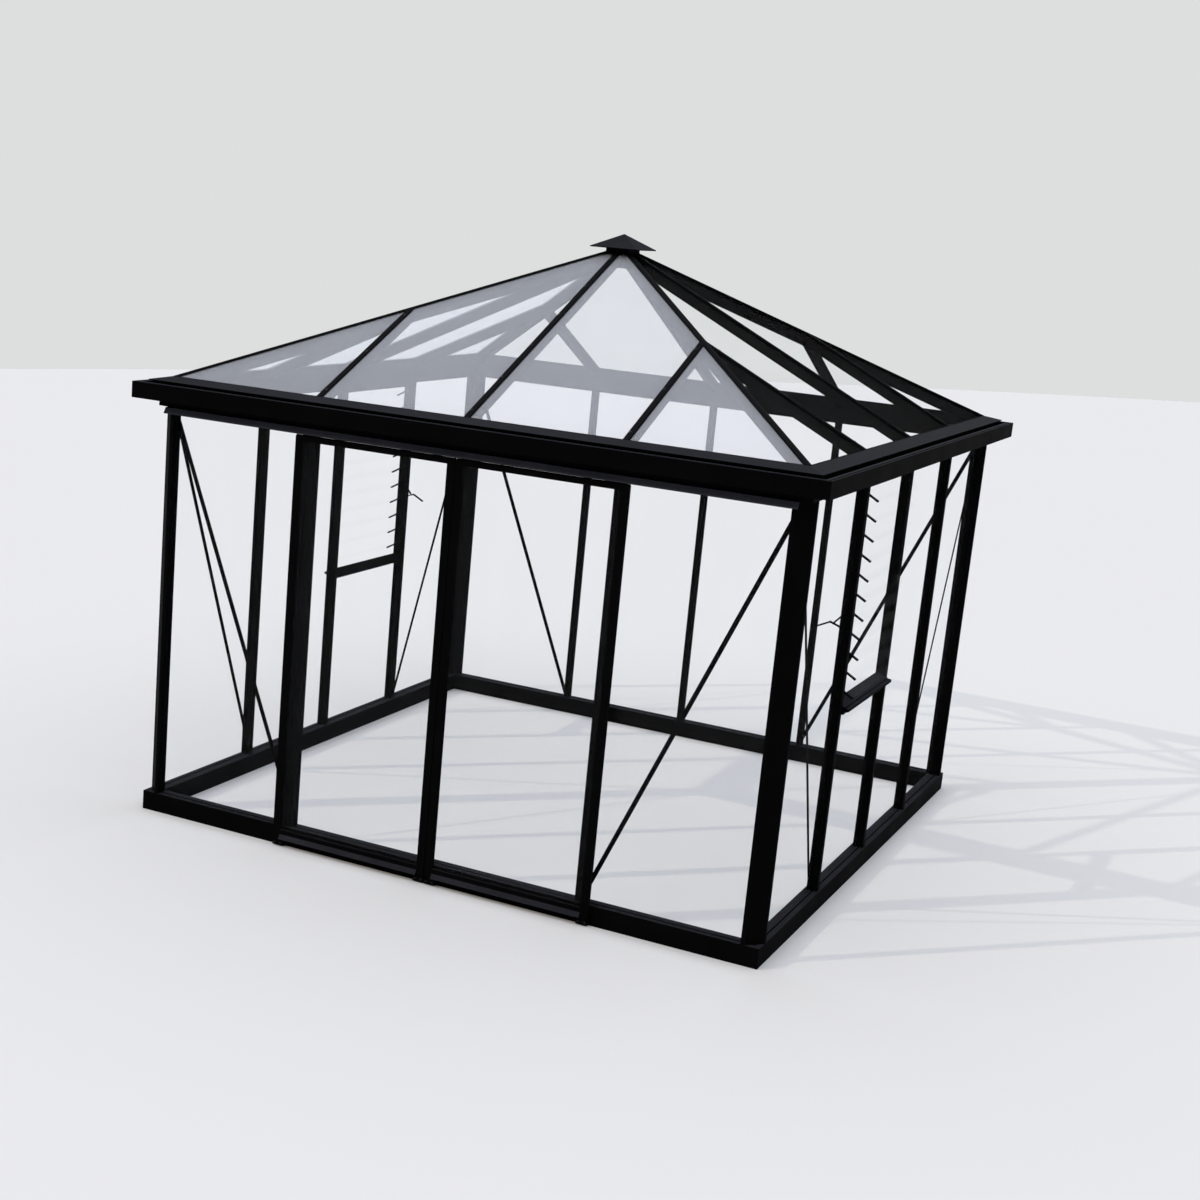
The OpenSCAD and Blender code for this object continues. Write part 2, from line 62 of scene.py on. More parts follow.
def add(tree, kind, inputs=None, **settings):
    """A node with its settings and its inputs, where an input is a value or another node's socket."""
    node = tree.nodes.new(kind)
    for key, value in settings.items():
        setattr(node, key, value)
    for key, value in (inputs or {}).items():
        if isinstance(value, bpy.types.NodeSocket):
            tree.links.new(value, node.inputs[key])
        else:
            node.inputs[key].default_value = value
    return node


def math_node(tree, operation, a, b=0.0, clamp=False):
    """The result of one sum on two values."""
    return add(tree, "ShaderNodeMath", {0: a, 1: b}, operation=operation, use_clamp=clamp).outputs[0]


def ramp(tree, value, low, high, to_low=0.0, to_high=1.0, smooth=False):
    """value from low..high carried over to to_low..to_high, held inside them."""
    kind = "SMOOTHSTEP" if smooth else "LINEAR"
    inputs = {"Value": value, "From Min": low, "From Max": high, "To Min": to_low, "To Max": to_high}
    return add(tree, "ShaderNodeMapRange", inputs, interpolation_type=kind).outputs[0]


def blend_colours(tree, factor, a, b):
    """Colour a where the factor is 0, colour b where it is 1."""
    node = add(tree, "ShaderNodeMix", {"Factor": factor}, data_type="RGBA")
    for socket, value in ((node.inputs[6], a), (node.inputs[7], b)):
        if isinstance(value, bpy.types.NodeSocket):
            tree.links.new(value, socket)
        else:
            socket.default_value = (*value, 1)
    return node.outputs[2]


def times(share, colour):
    """A colour made darker or paler by a share."""
    return [share * c for c in colour]


def noise(tree, scale, detail=2.0, rough=0.5, stretch=None):
    """Noise in the piece's own metres, drawn out along an axis where stretch isn't even."""
    where = add(tree, "ShaderNodeTexCoord").outputs["Object"]
    if stretch:
        where = add(tree, "ShaderNodeMapping", {"Vector": where, "Scale": stretch}).outputs[0]
    inputs = {"Vector": where, "Scale": scale, "Detail": detail, "Roughness": rough}
    return add(tree, "ShaderNodeTexNoise", inputs).outputs["Fac"]


def upward(tree, vector):
    """The upward part of a direction or a place."""
    return add(tree, "ShaderNodeSeparateXYZ", {0: vector}).outputs[2]


def bump(tree, height, distance, strength=1.0):
    """A normal bent by a height, whose full range is a distance in metres."""
    inputs = {"Height": height, "Distance": distance, "Strength": strength}
    return add(tree, "ShaderNodeBump", inputs).outputs[0]


def finish_surface(tree, shader):
    """Makes a shader the material's surface."""
    add(tree, "ShaderNodeOutputMaterial", {"Surface": shader})


# ---- materials ----

# The photo's black paint and plastic hardly mirror the studio
PAINT_SHINE = 0.003
PLASTIC_SHINE = 0.004
PAINT_ROUGH = 0.5
PAINT_DARK = (0.0025, 0.0025, 0.0028)
# Painted light: the pale colour painted on upward faces
PAINT_TOP_LIGHT = (0.024, 0.025, 0.031)
# Painted shade: the hood shades this much of the leaves' tops, which get no painted light
HOOD_SHADES = 30 * MM
SHADE_FADE = 10 * MM


def powder_coat(name, pale, steepest=0.2, flat=0.95, shaded_above=None):
    """Black powder coat: a fine orange-peel grain, a soft mottle, and painted light: what faces up is painted
    paler, in patches and specks. The painted light begins where the upward part of a face's normal passes
    steepest and is full at flat. There is none above the given height, where painted shade stands for the
    hood's shade."""
    material = bpy.data.materials.new(name)
    tree = node_tree(material)
    mottle = noise(tree, 5, detail=3)
    grain = noise(tree, 300, detail=1)
    speckle = noise(tree, 260, detail=2, rough=0.7)
    normal = add(tree, "ShaderNodeNewGeometry").outputs["Normal"]
    # Painted light: faces that point up are painted paler, in patches and specks
    painted_top_light = ramp(tree, upward(tree, normal), steepest, flat, smooth=True)
    patchy = ramp(tree, mottle, 0.3, 0.7, 0.7, 1.0)
    dust_and_painted_light = math_node(tree, "MULTIPLY", painted_top_light, patchy)
    dust_and_painted_light = math_node(tree, "MULTIPLY", dust_and_painted_light, ramp(tree, speckle, 0.35, 0.65, 0.8, 1.0))
    # Painted shade: no painted light above the given height
    if shaded_above:
        height = upward(tree, add(tree, "ShaderNodeTexCoord").outputs["Object"])
        unshaded = ramp(tree, height, shaded_above, shaded_above + SHADE_FADE, 1.0, 0.0)
        dust_and_painted_light = math_node(tree, "MULTIPLY", dust_and_painted_light, unshaded)
    coat = blend_colours(tree, ramp(tree, mottle, 0.35, 0.65), PAINT_DARK, times(1.3, PAINT_DARK))
    colour = blend_colours(tree, dust_and_painted_light, coat, pale)
    shader = add(tree, "ShaderNodeBsdfPrincipled", {
        "Base Color": colour,
        "Roughness": ramp(tree, mottle, 0.3, 0.7, PAINT_ROUGH - 0.05, PAINT_ROUGH + 0.07),
        "Specular IOR Level": PAINT_SHINE,
        "Normal": bump(tree, grain, 0.0002, 0.12),
    })
    finish_surface(tree, shader.outputs[0])
    return material


def black_plastic(name, base, rough):
    """Moulded black plastic or rubber, with a faint flow pattern and a fine matt grain."""
    material = bpy.data.materials.new(name)
    tree = node_tree(material)
    flow = noise(tree, 40, detail=2, stretch=(1, 1, 0.2))
    grain = noise(tree, 1400, detail=1)
    colour = blend_colours(tree, ramp(tree, flow, 0.3, 0.7), base, times(1.5, base))
    shader = add(tree, "ShaderNodeBsdfPrincipled", {
        "Base Color": colour,
        "Roughness": ramp(tree, flow, 0.3, 0.7, rough - 0.06, rough + 0.06),
        "Specular IOR Level": PLASTIC_SHINE,
        "Normal": bump(tree, grain, 0.0001, 0.12),
    })
    finish_surface(tree, shader.outputs[0])
    return material


def dark_steel(name, base, rubbed):
    """Blackened steel of the screw heads, a little brighter than the paint where handling has rubbed it."""
    material = bpy.data.materials.new(name)
    tree = node_tree(material)
    rub = noise(tree, 300, detail=3, rough=0.6)
    shader = add(tree, "ShaderNodeBsdfPrincipled", {
        "Base Color": blend_colours(tree, ramp(tree, rub, 0.4, 0.7), base, rubbed),
        "Metallic": 0.6,
        "Roughness": ramp(tree, rub, 0.3, 0.7, 0.32, 0.5),
        "Normal": bump(tree, rub, 0.0001, 0.3),
    })
    finish_surface(tree, shader.outputs[0])
    return material


SUNWARD = (-0.70, -0.72, 0)


def sunny_side(tree):
    """Where the painted reflection goes: 1 on sloping panes that face the sun's side, 0 on the others, the
    same on both faces of a pane.
    """
    normal = add(tree, "ShaderNodeNewGeometry").outputs["Normal"]
    inputs = {0: normal, 1: SUNWARD}
    sunward = add(tree, "ShaderNodeVectorMath", inputs, operation="DOT_PRODUCT").outputs["Value"]
    outward = math_node(tree, "MULTIPLY", sunward, math_node(tree, "SIGN", upward(tree, normal)))
    return ramp(tree, outward, 0.1, 0.25, smooth=True)


# The dusty film and the painted reflection share this colour, and let this much through
DUST_AND_GLARE_COLOUR = (0.86, 0.9, 1.0, 1)
DUST_AND_GLARE_LETS_THROUGH = 0.4
MIRROR_COLOUR = (0.95, 0.96, 1.0, 1)


def clear_glass(name, tint, mirror, film, glare=0.0):
    """Flat clear glass: what is behind shows through a faint tint, under an even mirror, a thin dusty film
    and, on the sunny side, a painted reflection: an even pale glare, drawn as a lit pale veil. Neither the
    film nor the glare casts a shadow."""
    material = bpy.data.materials.new(name)
    tree = node_tree(material)
    smear = noise(tree, 3, detail=4, rough=0.6, stretch=(1, 1, 0.4))
    spots = noise(tree, 120, detail=2)
    ripple = noise(tree, 2.5, detail=1)
    through = add(tree, "ShaderNodeBsdfTransparent", {
        "Color": blend_colours(tree, ramp(tree, smear, 0.3, 0.7), tint, times(0.994, tint)),
    })
    shine = add(tree, "ShaderNodeBsdfAnisotropic", {
        "Color": MIRROR_COLOUR,
        "Roughness": ramp(tree, smear, 0.3, 0.7, 0.02, 0.06),
        "Normal": bump(tree, ripple, 0.002, 0.2),
    })
    # A pale lit veil, for the dusty film and for the painted reflection of the glare
    thrown_back = add(tree, "ShaderNodeBsdfDiffuse", {"Color": DUST_AND_GLARE_COLOUR})
    let_through = add(tree, "ShaderNodeBsdfTranslucent", {"Color": DUST_AND_GLARE_COLOUR})
    dust_and_painted_light = add(tree, "ShaderNodeMixShader", {
        "Fac": DUST_AND_GLARE_LETS_THROUGH, 1: thrown_back.outputs[0], 2: let_through.outputs[0],
    })
    clear = add(tree, "ShaderNodeMixShader", {
        "Fac": ramp(tree, smear, 0.3, 0.7, 0.93 * mirror, 1.07 * mirror),
        1: through.outputs[0], 2: shine.outputs[0],
    })
    spotted = ramp(tree, spots, 0.3, 0.7, 0.5, 1.0)
    grime = math_node(tree, "MULTIPLY", ramp(tree, smear, 0.35, 0.75), spotted)
    veil = math_node(tree, "MULTIPLY", grime, film)
    # Painted reflection: panes on the sunny side get an even pale lit veil for the glare
    if glare:
        shimmer = ramp(tree, smear, 0.3, 0.7, 0.97 * glare, 1.03 * glare)
        veil = math_node(tree, "ADD", veil, math_node(tree, "MULTIPLY", sunny_side(tree), shimmer))
    shadow = add(tree, "ShaderNodeLightPath").outputs["Is Shadow Ray"]
    veil = math_node(tree, "MULTIPLY", veil, math_node(tree, "SUBTRACT", 1.0, shadow))
    both = add(tree, "ShaderNodeMixShader", {"Fac": veil, 1: clear.outputs[0], 2: dust_and_painted_light.outputs[0]})
    finish_surface(tree, both.outputs[0])
    return material


def pale_floor(name, colour):
    """Plain pale studio floor with a hardly visible mottle."""
    material = bpy.data.materials.new(name)
    tree = node_tree(material)
    cloud = noise(tree, 0.4, detail=2)
    shader = add(tree, "ShaderNodeBsdfDiffuse", {
        "Color": blend_colours(tree, cloud, times(0.997, colour), times(1.003, colour)),
    })
    finish_surface(tree, shader.outputs[0])
    return material


# Painted light on upward faces, in its own strength for each part
paint = powder_coat("frame_powder_coat", PAINT_TOP_LIGHT)
rafter_paint = powder_coat("rafter_powder_coat", times(0.4, PAINT_TOP_LIGHT))
eaves_paint = powder_coat("eaves_powder_coat", times(1.1, PAINT_TOP_LIGHT))
# Painted light: the hood's top is painted much paler, standing in for light in the gutter's shade
hood_paint = powder_coat("hood_powder_coat", times(9, PAINT_TOP_LIGHT))
# Painted shade: the door leaves' tops under the hood get no painted light
door_paint = powder_coat("door_powder_coat", times(1.3, PAINT_TOP_LIGHT), steepest=0.05, flat=0.45,
                         shaded_above=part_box("door_left_frame")[1].z - HOOD_SHADES)
nylon = black_plastic("black_nylon", (0.0028, 0.0028, 0.003), rough=0.45)
rubber = black_plastic("seal_rubber", (0.004, 0.004, 0.0045), rough=0.7)
steel = dark_steel("screw_steel", (0.004, 0.004, 0.0045), rubbed=(0.03, 0.03, 0.032))
# The roof panes' glare is a painted reflection
roof_pane = clear_glass("roof_glass", (0.996, 0.998, 1.0), mirror=0.006, film=0.002, glare=0.228)
wall_pane = clear_glass("wall_glass", (0.997, 0.9985, 1.0), mirror=0.003, film=0.001)
blade_pane = clear_glass("louvre_blade_glass", (0.994, 0.997, 0.999), mirror=0.008, film=0.002)

NODE_MATERIALS = {
    "louvre_blades": blade_pane,
    "door_hood": hood_paint,
    "hip_rafters": rafter_paint,
    "centre_rafters": rafter_paint,
    "jack_rafters": rafter_paint,
    "roof_hub": rafter_paint,
}
SLOT_MATERIALS = {
    "frame": paint,
    "eaves_frame": eaves_paint,
    "door_frame": door_paint,
    "door_running_gear": nylon,
    "louvre_lever": nylon,
    "roof_glass": roof_pane,
    "wall_glass": wall_pane,
}


def dress_nodes():
    """Gives every CAD node its own material, or that of its slot in the record."""
    for part in frame["record"]["subparts"]:
        name = part["node"]
        mesh = nodes[name].data
        mesh.materials.clear()
        mesh.materials.append(NODE_MATERIALS.get(name) or SLOT_MATERIALS[part["material_slot"]])


# ---- mesh helpers ----

# A face counts as large from this share of the largest, two normals as the same from this dot product, and an
# edge is bevelled from this angle
LARGE_FACE = 0.1
SAME_WAY = 0.999
SHARP_EDGE = math.radians(30)
WELD = 1e-5


class Solid:
    """One separate solid of a CAD node: its corners, its faces as (normal, area, corners) and its box."""

    def __init__(self, faces):
        self.faces = [(f.normal.copy(), f.calc_area(), [v.co.copy() for v in f.verts]) for f in faces]
        self.corners = [corner for face in self.faces for corner in face[2]]
        self.low = Vector([min(c[i] for c in self.corners) for i in range(3)])
        self.high = Vector([max(c[i] for c in self.corners) for i in range(3)])
        self.centre = (self.low + self.high) / 2

    def normal_most(self, way):
        """The normal, of the larger faces, that points most that way."""
        biggest = max(area for _, area, _ in self.faces)
        return max((n for n, area, _ in self.faces if area > LARGE_FACE * biggest), key=lambda n: n.dot(way))

    def facing(self, normal):
        """The corners of the faces with that normal."""
        return [c for n, _, corners in self.faces if n.dot(normal) > SAME_WAY for c in corners]


def solids(node):
    """The separate solids of a CAD node, in a fixed order."""
    bm = bmesh.new()
    bm.from_mesh(nodes[node].data)
    bmesh.ops.remove_doubles(bm, verts=bm.verts, dist=WELD)
    waiting = {face.index: face for face in bm.faces}
    found = []
    while waiting:
        stack = [waiting.pop(min(waiting))]
        group = []
        while stack:
            face = stack.pop()
            group.append(face)
            for edge in face.edges:
                for other in edge.link_faces:
                    if other.index in waiting:
                        stack.append(waiting.pop(other.index))
        found.append(Solid(group))
    bm.free()
    return sorted(found, key=lambda s: [round(v, 3) for v in s.centre])


def at(x, y, z):
    """A place matrix at that point, with the frame's own axes."""
    return Matrix.Translation((x, y, z))


def add_box(bm, size, place):
    """A box of that size (x, y, z), centred in the place matrix's axes."""
    bmesh.ops.create_cube(bm, size=1, matrix=place @ Matrix.Diagonal((*size, 1)))


def depth_middle(node):
    """The middle of a node's box from front to back."""
    low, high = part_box(node)
    return (low.y + high.y) / 2


def axes(origin, x, y, z):
    """A matrix with that origin and those axes."""
    matrix = Matrix((x, y, z)).transposed().to_4x4()
    matrix.translation = origin
    return matrix


def add_ring(bm, outlines):
    """Joins outlines, each a closed loop of as many points, into a closed band, the last to the first."""
    rows = [[bm.verts.new(p) for p in outline] for outline in outlines]
    count = len(rows[0])
    for a, b in zip(rows, rows[1:] + rows[:1]):
        for i in range(count):
            j = (i + 1) % count
            bm.faces.new((a[i], a[j], b[j], b[i]))


def inset(loop, normal, distance):
    """A flat convex loop of points moved in by a distance."""
    moved = []
    for i, corner in enumerate(loop):
        before = (corner - loop[i - 1]).normalized()
        after = (loop[(i + 1) % len(loop)] - corner).normalized()
        in_before, in_after = normal.cross(before), normal.cross(after)
        moved.append(corner + (in_before + in_after) * (distance / (1 + in_before.dot(in_after))))
    return moved


def outline_of(corners, normal):
    """Flat convex corners in order round the normal, each once."""
    middle = sum(corners, Vector()) / len(corners)
    side = normal.cross(UP if abs(normal.z) < 0.9 else Vector((1, 0, 0))).normalized()
    other = normal.cross(side)
    turn = {}
    for c in corners:
        angle = math.atan2((c - middle).dot(other), (c - middle).dot(side))
        turn[round(angle, 3)] = c
    return [turn[a] for a in sorted(turn)]


# A screw head's outline from its rim to the bottom of its recess, as shares of its radius and its height
HEAD_OUTLINE = ((1.0, 0.0), (1.0, 0.35), (0.86, 0.75), (0.6, 0.95), (0.34, 1.0), (0.28, 0.45))
HEAD_SIDES = 12


def add_screw(bm, place, radius, height):
    """A low domed screw head with a round recess, standing on the place matrix's origin along its z axis."""
    rows = []
    for share, rise in HEAD_OUTLINE:
        row = []
        for i in range(HEAD_SIDES):
            turn = 2 * math.pi * i / HEAD_SIDES
            x, y = radius * share * math.cos(turn), radius * share * math.sin(turn)
            row.append(bm.verts.new(place @ Vector((x, y, height * rise))))
        rows.append(row)
    for a, b in zip(rows, rows[1:]):
        for i in range(HEAD_SIDES):
            j = (i + 1) % HEAD_SIDES
            bm.faces.new((a[i], a[j], b[j], b[i]))
    bm.faces.new(rows[-1])
    bm.faces.new(list(reversed(rows[0])))


def make_piece(name, bm, material, body, bevel=0.0):
    """A piece from a bmesh: it rides on a body, and its edges are softly bevelled where bevel is given."""
    if bevel:
        sharp = [e for e in bm.edges if e.is_manifold and e.calc_face_angle(0) > SHARP_EDGE]
        bmesh.ops.bevel(bm, geom=sharp, offset=bevel, segments=2, affect="EDGES", profile=0.7)
    bmesh.ops.recalc_face_normals(bm, faces=bm.faces)
    mesh = bpy.data.meshes.new(name)
    bm.to_mesh(mesh)
    bm.free()
    mesh.materials.append(material)
    piece = bpy.data.objects.new(name, mesh)
    bpy.context.scene.collection.objects.link(piece)
    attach(piece, body)


# ---- louvre windows ----

CLIP_WIDTH = 13 * MM
CLIP_THICK = 8 * MM
CLIP_WALL = 1.2 * MM
CLIP_SPARE = 0.7 * MM
CLIP_WEB = 0.2 * MM
CLIP_WEB_GAP = 0.05 * MM
CLIP_BEVEL = 0.5 * MM


def blade_axes(blade):
    """A blade's own axes from its centre: x along the wall, y with its slope, z square to its upper face."""
    normal = blade.normal_most(UP)
    along = Vector((0, 1, 0))
    return axes(blade.centre, along, normal.cross(along), normal)


def add_clip(bm, place, length, depth, side):
    """A channel that grips one end of a blade, open towards the blade's middle."""
    inner = Vector((side * (length / 2 - CLIP_WIDTH), 0, 0))
    end = Vector((side * length / 2, 0, 0))
    middle = (inner + end) / 2
    wide = abs(end.x - inner.x)
    for z in (-1, 1):
        flange = Matrix.Translation(middle + Vector((0, 0, z * (CLIP_THICK - CLIP_WALL) / 2)))
        add_box(bm, (wide, depth + 2 * CLIP_SPARE, CLIP_WALL), place @ flange)
    for y in (-1, 1):
        cheek = Matrix.Translation(middle + Vector((0, y * (depth / 2 + CLIP_SPARE), 0)))
        add_box(bm, (wide, CLIP_WALL, CLIP_THICK), place @ cheek)


def add_clip_web(bm, place, length, depth, side):
    """The thin web that closes a clip between the blade's end and the jamb."""
    spot = side * (length / 2 + CLIP_WEB_GAP + CLIP_WEB / 2)
    size = (CLIP_WEB, depth + 2 * CLIP_SPARE - CLIP_WALL, CLIP_THICK - 2 * CLIP_WALL)
    add_box(bm, size, place @ at(spot, 0, 0))


def louvre_clips():
    """The plastic clips that hold each louvre blade at its end beside the lever."""
    clips = {"right": bmesh.new(), "left": bmesh.new()}
    webs = {"right": bmesh.new(), "left": bmesh.new()}
    for blade in solids("louvre_blades"):
        place = blade_axes(blade)
        length = blade.high.y - blade.low.y
        local = [place.inverted() @ c for c in blade.corners]
        depth = max(c.y for c in local) - min(c.y for c in local)
        name, side = ("right", -1) if blade.centre.x > 0 else ("left", 1)
        add_clip(clips[name], place, length, depth, side)
        add_clip_web(webs[name], place, length, depth, side)
    for name, bm in clips.items():
        make_piece("louvre_clips_" + name, bm, nylon, GREENHOUSE, bevel=CLIP_BEVEL)
        make_piece("louvre_clip_webs_" + name, webs[name], nylon, GREENHOUSE)


ROD_WIDTH = 9 * MM
ROD_THICK = 3 * MM
ROD_REACH = 30 * MM
ROD_GAP = 0.2 * MM
ROD_BEVEL = 0.6 * MM
RIVET_RADIUS = 3 * MM
RIVET_HEIGHT = 1.8 * MM


def louvre_rods():
    """The flat rod behind the jamb that joins a window's lever to its blades, with a rivet at each blade."""
    levers = solids("louvre_levers")
    blades = solids("louvre_blades")
    for name, sign in (("right", 1), ("left", -1)):
        lever = next(s for s in levers if s.centre.x * sign > 0)
        heights = [b.centre.z for b in blades if b.centre.x * sign > 0]
        frame_low, frame_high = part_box("louvre_frame_" + name)
        back = min(abs(frame_low.x), abs(frame_high.x))
        rod_x = sign * (back - ROD_THICK / 2 - ROD_GAP)
        bm = bmesh.new()
        for low, high in ((min(heights) - ROD_REACH, lever.low.z), (lever.high.z, max(heights) + ROD_REACH)):
            add_box(bm, (ROD_THICK, ROD_WIDTH, high - low), at(rod_x, lever.centre.y, (low + high) / 2))
        make_piece("louvre_rod_" + name, bm, nylon, GREENHOUSE, bevel=ROD_BEVEL)
        bm = bmesh.new()
        inward = Vector((-sign, 0, 0))
        for z in heights:
            if lever.low.z < z < lever.high.z:
                continue
            spot = Vector((rod_x - sign * ROD_THICK / 2, lever.centre.y, z))
            add_screw(bm, axes(spot, UP, inward.cross(UP), inward), RIVET_RADIUS, RIVET_HEIGHT)
        make_piece("louvre_rivets_" + name, bm, steel, GREENHOUSE)


# ---- seals ----

BEAD_WIDE = 4 * MM
BEAD_HIGH = 3 * MM
BEAD_TUCK = 0.5 * MM
BEAD_LIFT = 0.05 * MM
BEAD_KNEE = (0.7, 0.45)  # where its outline bends, as shares of its width and height
PANE_GRIP = 6 * MM


def add_bead(bm, loop, normal, grip):
    """A rubber bead on a pane, with its high side tucked under what covers the pane's edge."""
    foot = inset(loop, normal, grip - BEAD_TUCK)
    toe = inset(loop, normal, grip + BEAD_WIDE)
    knee = inset(loop, normal, grip + BEAD_KNEE[0] * BEAD_WIDE)
    lift = normal * BEAD_LIFT
    add_ring(bm, [[p + lift for p in foot], [p + lift for p in toe],
                  [p + normal * BEAD_HIGH * BEAD_KNEE[1] for p in knee],
                  [p + normal * BEAD_HIGH for p in foot]])


def glass_seals(name, node, body, ways):
    """Beads on each pane of a node, on its faces that point the given ways."""
    bm = bmesh.new()
    for pane in solids(node):
        for way in ways:
            normal = pane.normal_most(way)
            if normal.dot(way) > 0.5:
                add_bead(bm, outline_of(pane.facing(normal), normal), normal, PANE_GRIP)
    make_piece(name, bm, rubber, body)


def pane_seals():
    """The beads on both faces of every pane of the walls, the roof and the door leaves."""
    across = (Vector((0, -1, 0)), Vector((0, 1, 0)))
    along = (Vector((-1, 0, 0)), Vector((1, 0, 0)))
    for side, ways in (("front", across), ("back", across), ("right", along), ("left", along)):
        glass_seals("wall_seals_" + side, "wall_glass_" + side, GREENHOUSE, ways)
        glass_seals("roof_seals_" + side, "roof_glass_" + side, GREENHOUSE, (UP, -UP))
    for door in DOORS:
        glass_seals(door + "_seals", door + "_glass", door, across)


BRUSH_DEPTH = 6 * MM
BRUSH_SHORT = 4 * MM
BRUSH_REACH = 0.46  # of the gap between the leaves
BRUSH_BEVEL = 0.5 * MM
TRACK_GAP = 0.1 * MM


def leaf_brushes():
    """The brush strips on each leaf: one at its meeting edge, which reaches nearly to the middle of the gap
    between the leaves, and one on top, which reaches up to the track."""
    left_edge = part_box("door_left_frame")[1].x
    right_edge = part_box("door_right_frame")[0].x
    meeting_reach = BRUSH_REACH * (right_edge - left_edge)
    for door, edge, way in (("door_left", left_edge, 1), ("door_right", right_edge, -1)):
        low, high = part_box(door + "_frame")
        middle = depth_middle(door + "_glass")
        bm = bmesh.new()
        add_box(bm, (meeting_reach, BRUSH_DEPTH, high.z - low.z - BRUSH_SHORT),
                at(edge + way * meeting_reach / 2, middle, (low.z + high.z) / 2))
        top_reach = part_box("door_track")[0].z - TRACK_GAP - high.z
        add_box(bm, (high.x - low.x, BRUSH_DEPTH, top_reach),
                at((low.x + high.x) / 2, middle, high.z + top_reach / 2))
        make_piece(door + "_brush", bm, rubber, door, bevel=BRUSH_BEVEL)


THRESHOLD_WIDTH = 11 * MM
THRESHOLD_HEIGHT = 1 * MM
THRESHOLD_SHORT = 1 * MM
THRESHOLD_BEVEL = 0.3 * MM


def threshold_seal():
    """The black rubber strip over the base frame's empty groove in the doorway."""
    left, right = solids("front_posts")
    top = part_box("base_front")[1].z
    bm = bmesh.new()
    add_box(bm, (right.low.x - left.high.x - THRESHOLD_SHORT, THRESHOLD_WIDTH, THRESHOLD_HEIGHT),
            at(0, depth_middle("wall_glass_front"), top + THRESHOLD_HEIGHT / 2))
    make_piece("threshold_seal", bm, rubber, GREENHOUSE, bevel=THRESHOLD_BEVEL)


STRIP_WIDTH = 27 * MM
STRIP_THICK = 6 * MM
STRIP_GAP = 0.3 * MM
STRIP_LAP = 1 * MM
STRIP_BEVEL = 0.8 * MM
JAMB_BRUSH_WIDTH = 5 * MM


def jamb_strips():
    """The strip outside each door post, with a brush that reaches to the back of the leaf's outer stile."""
    left, right = solids("front_posts")
    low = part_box("base_front")[1].z
    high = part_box("door_track")[0].z - STRIP_GAP
    face = left.low.y
    front = face - STRIP_THICK
    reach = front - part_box("door_left_frame")[1].y - STRIP_GAP
    strips, brushes = bmesh.new(), bmesh.new()
    for edge, way in ((left.low.x, -1), (right.high.x, 1)):
        middle = edge + way * (STRIP_WIDTH / 2 - STRIP_LAP)
        add_box(strips, (STRIP_WIDTH, STRIP_THICK, high - low),
                at(middle, face - STRIP_THICK / 2, (low + high) / 2))
        add_box(brushes, (JAMB_BRUSH_WIDTH, reach, high - low - BRUSH_SHORT),
                at(middle, front - reach / 2, (low + high) / 2))
    make_piece("jamb_strips", strips, paint, GREENHOUSE, bevel=STRIP_BEVEL)
    make_piece("jamb_brushes", brushes, rubber, GREENHOUSE, bevel=BRUSH_BEVEL)


SHOE_WIDTH = 52 * MM
SHOE_DEPTH = 15 * MM
SHOE_LOW = 4 * MM
SHOE_HIGH = 27 * MM
SHOE_BEVEL = 1.5 * MM
NECK_WIDTH = 0.6 * SHOE_WIDTH
NECK_DEPTH = 11 * MM
SHOE_SCREW_STEP = 0.3 * SHOE_WIDTH
SHOE_SCREW_RADIUS = 4 * MM
SHOE_SCREW_HEIGHT = 2 * MM


def guide_shoes():
    """The nylon shoes round each leaf's guide pins, which keep its foot beside the base frame."""
    for door in DOORS:
        low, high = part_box(door + "_frame")
        middle = depth_middle(door + "_glass")
        shoes, screws = bmesh.new(), bmesh.new()
        for x in (low.x + SHOE_WIDTH / 2, high.x - SHOE_WIDTH / 2):
            z = (SHOE_LOW + SHOE_HIGH) / 2
            neck_z = (low.z + SHOE_HIGH) / 2
            add_box(shoes, (SHOE_WIDTH, SHOE_DEPTH, SHOE_HIGH - SHOE_LOW), at(x, middle, z))
            add_box(shoes, (NECK_WIDTH, NECK_DEPTH, low.z - SHOE_HIGH), at(x, middle, neck_z))
            for step in (-SHOE_SCREW_STEP, SHOE_SCREW_STEP):
                spot = Vector((x + step, middle - SHOE_DEPTH / 2, z))
                place = axes(spot, UP, Vector((1, 0, 0)), Vector((0, -1, 0)))
                add_screw(screws, place, SHOE_SCREW_RADIUS, SHOE_SCREW_HEIGHT)
        make_piece(door + "_guide_shoes", shoes, nylon, door, bevel=SHOE_BEVEL)
        make_piece(door + "_shoe_screws", screws, steel, door)


# ---- screws ----

SCREW_PITCH = 0.32
SCREW_RADIUS = 5.5 * MM
SCREW_HEIGHT = 3 * MM
SCREW_END = 60 * MM
CAP_HALF_WIDTH = 20 * MM
CAP_SHORT = 15 * MM
SAME_PLACE = 1 * MM


def cap_lines():
    """The middle line of each rafter's cap as (upper end, lower end, normal)."""
    for node in ("centre_rafters", "jack_rafters"):
        for rafter in solids(node):
            normal = rafter.normal_most(UP)
            strip = rafter.facing(normal)
            down = (normal * normal.z - UP).normalized()
            across = normal.cross(down)
            reach = [c.dot(down) for c in strip]
            lowest = [c for c in strip if c.dot(down) > max(reach) - SAME_PLACE]
            end = sum(lowest, Vector()) / len(lowest)
            full = [c for c in strip if abs((c - end).dot(across)) < CAP_HALF_WIDTH]
            start = end - down * (max(reach) - min(c.dot(down) for c in full) - CAP_SHORT)
            yield start, end, normal


